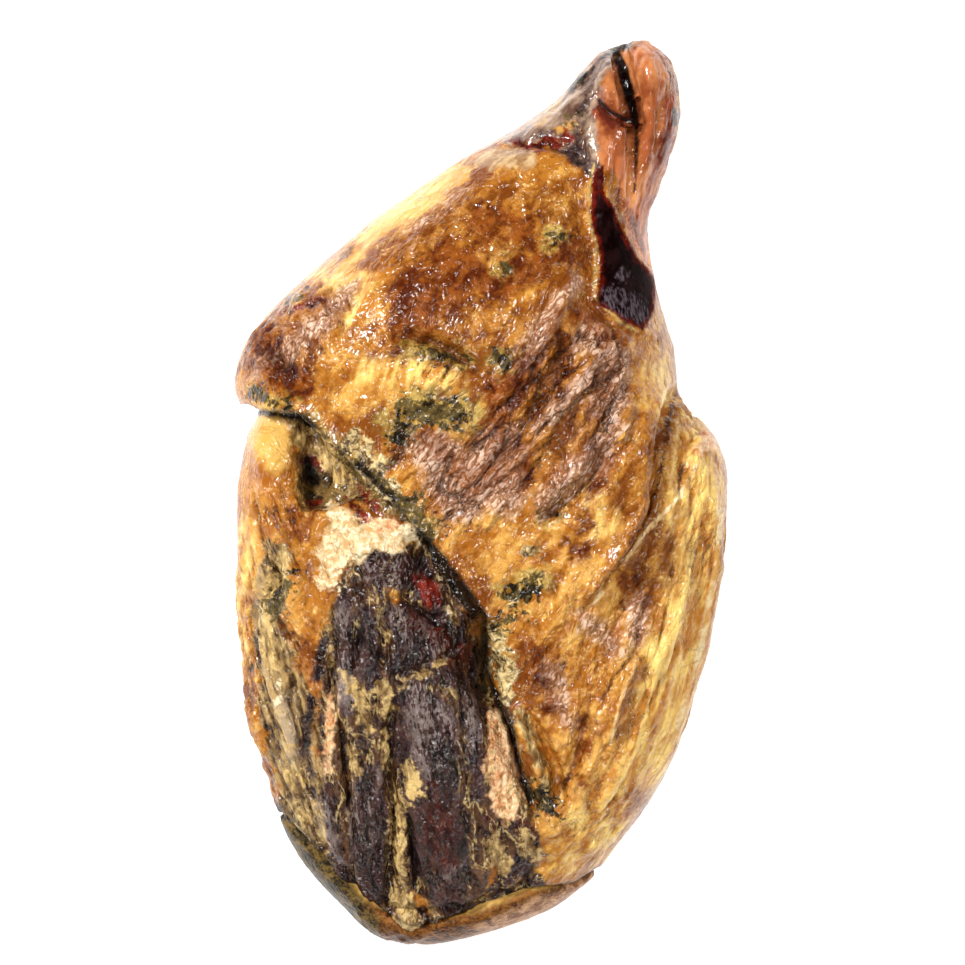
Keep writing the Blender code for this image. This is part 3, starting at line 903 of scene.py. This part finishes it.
# Each finish: dark and light colour, how soft and ragged its edge is, the size of the rags, and its grain
finishes = {
    "honey": ((0.35, 0.110, 0.010), (0.72, 0.37, 0.075), 7.0, 8.0, 14.0, "plain"),
    "rust": ((0.15, 0.035, 0.003), (0.44, 0.165, 0.020), 6.0, 8.0, 14.0, "plain"),
    "amberFlap": ((0.34, 0.10, 0.009), (0.64, 0.28, 0.04), 5.0, 5.0, 12.0, "soft"),
    "gold": ((0.52, 0.19, 0.022), (1.0, 0.68, 0.19), 7.0, 7.0, 12.0, "right"),
    "brown": ((0.070, 0.011, 0.002), (0.26, 0.066, 0.008), 4.0, 8.0, 10.0, "plain"),
    "moss": ((0.18, 0.085, 0.012), (0.54, 0.36, 0.09), 4.0, 7.0, 6.0, "plain"),
    "pocket": ((0.016, 0.008, 0.004), (0.22, 0.125, 0.034), 1.6, 2.4, 6.0, "plain"),
    "creamFlap": ((0.68, 0.38, 0.08), (0.84, 0.52, 0.15), 4.0, 3.0, 8.0, "soft"),
    "shank": ((0.33, 0.085, 0.025), (0.62, 0.23, 0.080), 2.0, 2.0, 8.0, "shank"),
    "tan": ((0.30, 0.15, 0.06), (0.62, 0.43, 0.22), 2.0, 2.5, 8.0, "edge"),
    "membrane": ((0.11, 0.050, 0.034), (0.42, 0.29, 0.20), 1.6, 3.0, 8.0, "edge"),
    "purple": ((0.030, 0.014, 0.013), (0.15, 0.090, 0.075), 1.6, 2.6, 6.0, "plain"),
    "leanBase": ((0.014, 0.004, 0.002), (0.10, 0.042, 0.016), 2.0, 5.0, 9.0, "lean"),
    "fibre": ((0.050, 0.020, 0.005), (0.46, 0.29, 0.11), 2.0, 5.0, 9.0, "flap"),
    "cream": ((0.62, 0.36, 0.14), (0.95, 0.80, 0.50), 1.6, 6.0, 6.0, "cream"),
    "wormy": ((0.07, 0.035, 0.010), (0.76, 0.56, 0.25), 2.0, 7.0, 6.0, "cream"),
    "lean": ((0.006, 0.0015, 0.0015), (0.050, 0.018, 0.015), 1.6, 3.5, 10.0, "lean"),
    "red": ((0.035, 0.003, 0.001), (0.20, 0.016, 0.008), 1.8, 4.0, 6.0, "lean"),
    "maroon": ((0.014, 0.002, 0.001), (0.060, 0.010, 0.005), 2.0, 3.0, 7.0, "lean"),
    "pink": ((0.60, 0.24, 0.08), (0.90, 0.60, 0.33), 1.6, 3.6, 7.0, "cream"),
    "seam": ((0.12, 0.055, 0.014), (0.68, 0.46, 0.17), 1.4, 4.4, 5.0, "lean"),
    "edgeGold": ((0.62, 0.27, 0.035), (0.96, 0.62, 0.17), 2.0, 3.0, 8.0, "soft"),
    "salmon": ((0.56, 0.16, 0.050), (0.82, 0.34, 0.12), 1.6, 1.6, 8.0, "shank"),
    "shankMid": ((0.22, 0.048, 0.013), (0.48, 0.16, 0.05), 3.0, 3.0, 8.0, "shank"),
    "oliveRim": ((0.22, 0.13, 0.03), (0.62, 0.42, 0.13), 0.6, 0.7, 5.0, "plain"),
    "shankRed": ((0.11, 0.016, 0.007), (0.34, 0.070, 0.024), 2.0, 2.6, 6.0, "shank"),
    "slit": ((0.010, 0.004, 0.004), (0.045, 0.018, 0.016), 0.7, 0.5, 4.0, "plain"),
    "wedgeRim": ((0.050, 0.003, 0.0015), (0.13, 0.008, 0.004), 1.0, 1.4, 6.0, "plain"),
    "wedge": ((0.004, 0.001, 0.001), (0.016, 0.005, 0.005), 1.2, 1.8, 5.0, "plain"),
    "darkTip": ((0.010, 0.008, 0.008), (0.06, 0.045, 0.04), 1.4, 2.0, 4.0, "plain"),
    "olive": ((0.010, 0.006, 0.002), (0.13, 0.085, 0.024), 1.4, 8.0, 4.0, "plain"),
    # painted shade in the folds' creases
    "foldShade": ((0.070, 0.016, 0.002), (0.18, 0.050, 0.006), 1.2, 1.6, 5.0, "plain"),
    # painted highlight along the fold's lip and the ridges
    "ridgeHighlight": ((0.66, 0.34, 0.09), (0.92, 0.74, 0.42), 0.6, 0.8, 5.0, "plain"),
}
fatColours = {
    "deep": (0.20, 0.050, 0.004),
    "amber": (0.42, 0.150, 0.016),
    "yellow": (0.74, 0.38, 0.07),
    # dark brown: painted shade in the creases, and the veins' own colour
    "crease": (0.070, 0.018, 0.004),
    # painted sheen: a painted reflection, with painted shade in its creases and a painted highlight on its
    # ridges
    "paintedSheen": (0.36, 0.175, 0.095),
    "sheenCreaseShade": (0.13, 0.040, 0.012),
    "sheenHighlight": (0.78, 0.55, 0.41),
    # painted sheen on the lean
    "leanSheen": (0.29, 0.225, 0.20),
    # lilac grey of the painted sheen on the wedge
    "paintedWedgeSheen": (0.17, 0.13, 0.15),
    # pale yellow of the painted glints
    "paintedGlint": (0.90, 0.62, 0.24),
    "net": (0.60, 0.43, 0.17),
    "netDark": (0.20, 0.10, 0.03),
    # near-black painted shade in the seams and under the mantle's edge
    "hollow": (0.004, 0.002, 0.001),
}


meatLook = {
    "broad": 22,         # sizes of the patches in its colour
    "blotch": 7,
    "grain": 2.6,
    "crinkles": 2.4,     # heights of the fine relief
    "grit": 0.16,
    "leanGrit": 0.6,
    "leanGrain": 1.1,
    "folds": 2.8,
    "rimWidth": 2.0,     # of the red rim round the wedge
    "net": 0.85,         # strengths of what lies over the finishes
    "veins": 0.38,
    # strength of the painted glints in thin lines
    "threads": 0.3,
    # strength of the painted glints in small dots
    "glintSpecks": 0.6,
    # strength of the painted sheen on the fat
    "paintedSheen": 0.85,
    # strength of the painted sheen on the lean
    "leanSheen": 0.55,
    # strength of the painted sheen on the wedge
    "paintedWedgeSheen": 0.6,
    # strength of the painted shade in the creases
    "creases": 0.8,
    # strength of the painted shade in the seams and under the mantle's edge
    "paintedHollowShade": 0.97,
    "roughness": 0.10,
    "roughGrain": 0.14,
    "leanGloss": 0.04,
    "wet": 1.42,         # index of refraction where it shines and where it is dull
    "dull": 1.02,
}


def meatMaterial():
    material, graph = newMaterial("curedMeat")
    place = graph.place()
    area = graph.area
    relief = area("relief")
    inLean = area("leanBase").over(-2, 2)

    def along(degrees, stretch, size, *detail):  # a noise that runs along a direction
        return graph.noise(graph.turned(place, degrees, stretch), size, *detail)

    broad = along(42, 1.6, meatLook["broad"], 2, 0.5)
    blotch = along(50, 2.0, meatLook["blotch"], 4, 0.55, 0.3)
    grain = graph.noise(place, meatLook["grain"], 2, 0.55, 0.2)
    runs = {
        "plain": blotch * 0.7 + grain * 0.3,
        "lean": along(97, 4, 3.0, 2, 0.5, 0.3) * 0.6 + blotch * 0.4,
        "flap": along(112, 5, 3.0, 2, 0.5, 0.3) * 0.7 + blotch * 0.3,
        "right": along(76, 6, 4.4, 2, 0.5, 0.3) * 0.6 + blotch * 0.4,
        "shank": along(82, 3, 9.0, 2, 0.5) * 0.8 + grain * 0.2,
        "edge": along(44, 3.5, 5.0, 2, 0.5, 0.3) * 0.8 + grain * 0.2,
        "soft": broad * 0.6 + blotch * 0.4,
        "cream": graph.noise(place, 3.4, 3, 0.6, 0.8) * 0.8 + blotch * 0.2,
    }
    polished = area("wedge").over(-1, 2) + area("shank").over(-3, 2) * 0.85
    polished = (polished + area("membrane").over(-3, 2) * 0.6 + area("tan").over(-3, 2) * 0.6).over(0, 1)

    # the fine relief
    fine = graph.noise(place, 2.0, 1, 0.5)
    leanRelief = fine * meatLook["leanGrit"] + grain * meatLook["leanGrain"]
    height = along(60, 1.4, 6.0, 2, 0.5, 0.6).folds() * meatLook["crinkles"] + fine * meatLook["grit"]
    height = height + leanRelief * inLean
    # the wrinkles' fold lines, where shade is painted
    lines = relief * 0
    for name, (degrees, stretch, depth, _) in wrinkleAreas.items():
        fold = along(degrees, stretch * 0.7, 4.2, 2, 0.5, 0.6).folds()
        height = height + fold * meatLook["folds"] * area(name) * depth
        lines = lines + (1 - (fold * 18).over(0, 1)) * area(name) * depth
    height = height * (1 - polished * 0.85)

    # the fat, and each finish over it
    # the relief term paints shade and light: darker in the relief's creases, lighter on its ridges
    tone = broad * 0.45 + blotch * 0.40 + grain * 0.15 + relief * 0.04
    colour = graph.mix(tone.over(0.43, 0.55), fatColours["deep"], fatColours["amber"])
    pale = (tone + (blotch - 0.5) * 0.5).over(0.56, 0.70) * 0.7
    colour = graph.mix(pale, colour, fatColours["yellow"])
    inside = {name: area(name) for name in finishes}
    inside["wedgeRim"] = area("wedge")
    inside["wedge"] = area("wedge") - meatLook["rimWidth"]
    for name, (dark, light, soft, ragged, size, run) in finishes.items():
        edge = inside[name] + (graph.noise(place, size, 4, 0.6, 0.3) - 0.5) * 4 * ragged
        # each finish is painted darker in the relief's creases and lighter on its ridges
        tone = (runs[run] + relief * 0.05).over(0.38, 0.64)
        colour = graph.mix(edge.over(-soft, soft), colour, graph.mix(tone, dark, light))

    # fat in the lean, veins, and painted glints as thin lines and small dots
    fat = (1 - inLean) * (1 - polished)
    meat = area("leanBase").over(-2, 3) * (1 - area("lean").over(-1, 2) * 0.95)
    meat = meat * (1 - area("cream").over(-2, 2))
    netColour = graph.mix(grain.over(0.4, 0.6), fatColours["netDark"], fatColours["net"])
    net = along(97, 2.4, 11, 4, 0.6, 0.6).threads(26)
    colour = graph.mix(net * meat * meatLook["net"], colour, netColour)
    veins = graph.noise(place, 13, 4, 0.6, 0.8).threads(50) * broad.over(0.40, 0.55) * (1 - polished)
    veinColour = graph.mix(1.0, colour, fatColours["crease"], "MULTIPLY")
    colour = graph.mix(veins * meatLook["veins"], colour, veinColour)
    # painted glints lie on the fat, fewer on the brown
    bright = (1 - area("brown").over(-4, 3) * 0.7) * fat
    # painted glints: thin bright lines
    threads = graph.noise(place, 7, 3, 0.6, 1.2).threads(40) * blotch.over(0.45, 0.6) * bright
    colour = graph.mix(threads * meatLook["threads"], colour, fatColours["paintedGlint"])
    # painted glints: small bright dots
    glintSpecks = graph.noise(place, 2.4, 2, 0.5).over(0.62, 0.70) * blotch.over(0.42, 0.6) * bright
    colour = graph.mix(glintSpecks * meatLook["glintSpecks"], colour, fatColours["paintedGlint"])

    # painted sheen: a painted reflection on the mantle's fat, with painted shade in its folds and painted
    # highlights on its ridges; painted sheen on the lean and on the wedge
    paintedSheen = (area("sheen") + (blotch - 0.5) * 22).over(-4, 4) * (1 - area("wedge").over(-3, -1))
    paintedSheen = paintedSheen * (1 - area("brown").over(0, 8) * 0.6)
    ridge = along(52, 1.9, 3.2, 3, 0.55, 0.5).folds()
    sheen = graph.mix(ridge.over(0.0, 0.045), fatColours["sheenCreaseShade"], fatColours["paintedSheen"])
    # painted highlight on the sheen's ridges, lighter on the raised relief
    sheen = graph.mix((ridge + relief * 0.02).over(0.06, 0.14) * 0.9, sheen, fatColours["sheenHighlight"])
    colour = graph.mix(paintedSheen * meatLook["paintedSheen"], colour, sheen)
    streak = along(97, 2.5, 1.6, 2, 0.6)
    # painted sheen on the lean, in streaks, brighter on the raised relief
    leanSheen = (streak + relief * 0.08).over(0.52, 0.62) * (area("leanSheen") + (blotch - 0.5) * 16).over(-4, 4)
    colour = graph.mix(leanSheen * meatLook["leanSheen"], colour, fatColours["leanSheen"])
    # painted sheen in streaks on the wedge
    paintedWedgeSheen = (area("wedgeSheen") + (grain - 0.5) * 12).over(-2, 2) * area("wedge").over(0, 2)
    colour = graph.mix(paintedWedgeSheen * streak.over(0.40, 0.64) * meatLook["paintedWedgeSheen"], colour, fatColours["paintedWedgeSheen"])

    # painted shade: darker in the creases, near-black in the seams and under the mantle's edge
    crease = (lines * 1.2 - relief * 0.8).over(0.4, 2.0)
    shadedCreases = graph.mix(1.0, colour, fatColours["crease"], "MULTIPLY")
    colour = graph.mix(crease * meatLook["creases"], colour, shadedCreases)
    depth = (area("hollow") + (blotch - 0.5) * 4).over(-1.0, 2.0)
    colour = graph.mix(depth * meatLook["paintedHollowShade"], colour, fatColours["hollow"])

    bump = graph.node("ShaderNodeBump", None, {"Strength": 1.0, "Distance": mm, "Height": height})
    rough = grain * meatLook["roughGrain"] + meatLook["roughness"] - inLean * meatLook["leanGloss"]
    wet, dry = (
        graph.node(
            "ShaderNodeBsdfPrincipled",
            None,
            {"Base Color": colour, "Roughness": rough, "Normal": bump, "IOR": meatLook[kind]},
        )
        for kind in ("wet", "dull")
    )
    dull = (area("wedge").over(-1, 1) * 0.9 + area("brown").over(-4, 4) * fat * 0.55).over(0, 1)
    shader = graph.node("ShaderNodeMixShader", None, {0: dull, 1: wet, 2: dry})
    return finishMaterial(material, graph, shader)


rindColours = {
    "dark": (0.16, 0.055, 0.012),
    "light": (0.44, 0.20, 0.05),
    "worn": (0.60, 0.36, 0.13),
    "mould": (0.09, 0.06, 0.03),
    "fatEdge": (0.78, 0.47, 0.12),    # below its trimmed edge
    "gloss": 0.12,
    "roughness": 0.24,
    "relief": 0.8,
}
bandFinishes = {
    "band": ((0.10, 0.034, 0.006), (0.36, 0.15, 0.03)),
    "bandBrown": ((0.045, 0.013, 0.002), (0.27, 0.10, 0.018)),
    "bandPink": ((0.22, 0.075, 0.020), (0.62, 0.35, 0.17)),
    "bandDark": ((0.007, 0.004, 0.001), (0.18, 0.11, 0.03)),
}


def rindMaterial():
    material, graph = newMaterial("rindSkin")
    place = graph.place()
    broad = graph.noise(place, 34, 4, 0.6)
    blotch = graph.noise(place, 7, 4, 0.65, 0.5)
    grain = graph.noise(place, 1.4, 3, 0.6)
    high = graph.node("ShaderNodeSeparateXYZ", None, {"Vector": place}, "Z") * perMetre
    tone = (broad * 0.6 + blotch * 0.4).over(0.42, 0.60)
    colour = graph.mix(tone, rindColours["dark"], rindColours["light"])
    worn = (grain * 0.5 + blotch * 0.5).over(0.52, 0.66)
    colour = graph.mix(worn * 0.6, colour, rindColours["worn"])
    mould = graph.noise(place, 13, 5, 0.7).over(0.58, 0.66)
    colour = graph.mix(mould * 0.55, colour, rindColours["mould"])
    pale = (high + (blotch - 0.5) * 10).over(15, 24)
    colour = graph.mix(pale * 0.85, colour, rindColours["fatEdge"])
    bandTone = (blotch * 0.6 + grain * 0.4).over(0.4, 0.62)
    for name, (dark, light) in bandFinishes.items():
        share = (graph.area(name) + (blotch - 0.5) * 8).over(-3, 3)
        colour = graph.mix(share, colour, graph.mix(bandTone, dark, light))
    pores = graph.node("ShaderNodeTexVoronoi", None, {"Vector": place, "Scale": 420.0})
    height = pores * 0.5 + graph.noise(place, 3.2, 4, 0.6)
    bump = graph.node(
        "ShaderNodeBump", None, {"Strength": rindColours["relief"], "Distance": mm, "Height": height}
    )
    shader = graph.node(
        "ShaderNodeBsdfPrincipled",
        None,
        {
            "Base Color": colour,
            "Roughness": grain * 0.2 + rindColours["roughness"],
            "Normal": bump,
            "Specular IOR Level": rindColours["gloss"],
        },
    )
    return finishMaterial(material, graph, shader)


# Floor, light and camera

studio = {
    "cameraHeight": 2.442,
    "viewWidth": 0.4825,
    "sensor": 36.0,
    "sky": (0.14, 0.05),    # brightness at the horizon and overhead
    "lamps": [  # place, size and power; each looks at the ham
        ((-1.00, 0.85, 1.45), 0.30, 37.0),
        ((-0.42, 0.42, 2.10), 0.16, 8.0),
        ((0.95, 0.55, 1.50), 0.22, 9.0),
        ((-0.75, -1.10, 1.40), 0.22, 8.0),
        ((0.80, -0.95, 1.50), 0.22, 9.0),
    ],
    "floorHalf": 6.0,
    "floorTones": (0.93, 0.95),
    "floorRoughness": 0.8,
    "floorGlow": 0.6,
}


def aim(thing, target):
    place = np.array(thing.location)
    toTarget = np.array(target) - place
    tilt = math.atan2(math.hypot(toTarget[0], toTarget[1]), -toTarget[2])
    turn = math.atan2(toTarget[1], toTarget[0]) - math.pi / 2
    thing.rotation_euler = (tilt, 0, turn)


def makeStudio():
    scene = bpy.context.scene
    scene.view_settings.view_transform = "Standard"
    scene.view_settings.look = "None"
    world = bpy.data.worlds.new("studio")
    scene.world = world
    world.use_nodes = True
    graph = Graph(world.node_tree)
    up = graph.node("ShaderNodeTexCoord", None, None, "Generated")
    height = graph.node("ShaderNodeSeparateXYZ", None, {"Vector": up}, "Z")
    low, high = studio["sky"]
    sky = graph.mix(height.over(-0.1, 1.0), (low, low, low), (high, high, high))
    world.node_tree.links.new(sky.socket, world.node_tree.nodes["Background"].inputs["Color"])
    for place, size, power in studio["lamps"]:
        lamp = bpy.data.lights.new("softbox", "AREA")
        lamp.size = size
        lamp.energy = power
        lit = bpy.data.objects.new("softbox", lamp)
        lit.location = place
        aim(lit, (0, 0, 0.05))
        scene.collection.objects.link(lit)

    material, graph = newMaterial("paleFloor")
    dark, light = ((tone, tone, tone) for tone in studio["floorTones"])
    shader = graph.node(
        "ShaderNodeBsdfPrincipled",
        None,
        {
            "Base Color": graph.mix(graph.noise(graph.place(), 40, 2), dark, light),
            "Roughness": studio["floorRoughness"],
            "Emission Color": (1, 1, 1, 1),
            "Emission Strength": studio["floorGlow"],
        },
    )
    finishMaterial(material, graph, shader)
    half = studio["floorHalf"]
    corners = [(-half, -half, 0), (half, -half, 0), (half, half, 0), (-half, half, 0)]
    mesh = bpy.data.meshes.new("floor")
    mesh.from_pydata(corners, [], [(0, 1, 2, 3)])
    mesh.materials.append(material)
    floor = addPiece("floor", mesh)

    lens = bpy.data.cameras.new("camera")
    lens.sensor_width = studio["sensor"]
    distance = studio["cameraHeight"] - outlineHeight * mm
    lens.lens = studio["sensor"] * distance / studio["viewWidth"]
    lens.clip_end = 50
    camera = bpy.data.objects.new("camera", lens)
    camera.location = (viewCentre[0] * mm, viewCentre[1] * mm, studio["cameraHeight"])
    scene.collection.objects.link(camera)
    scene.camera = camera


makeStudio()
print("studio ready")
surface = hamSurface()
print("surface", len(surface.vertices), "points")
surfacePoints = pointsOf(surface)
offsets = skinOffsets(surfacePoints, normalsOf(surface))
meat = meatMaterial()
rindSkin = rindMaterial()
tree = reliefTree()
for name in ("fatMantle", "leanFace", "rind"):
    piece = makeSkin(name, surface, offsets[name], tree, rindSkin if name == "rind" else meat)
    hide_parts("ham")
    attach(piece, "root")
print("skins ready")
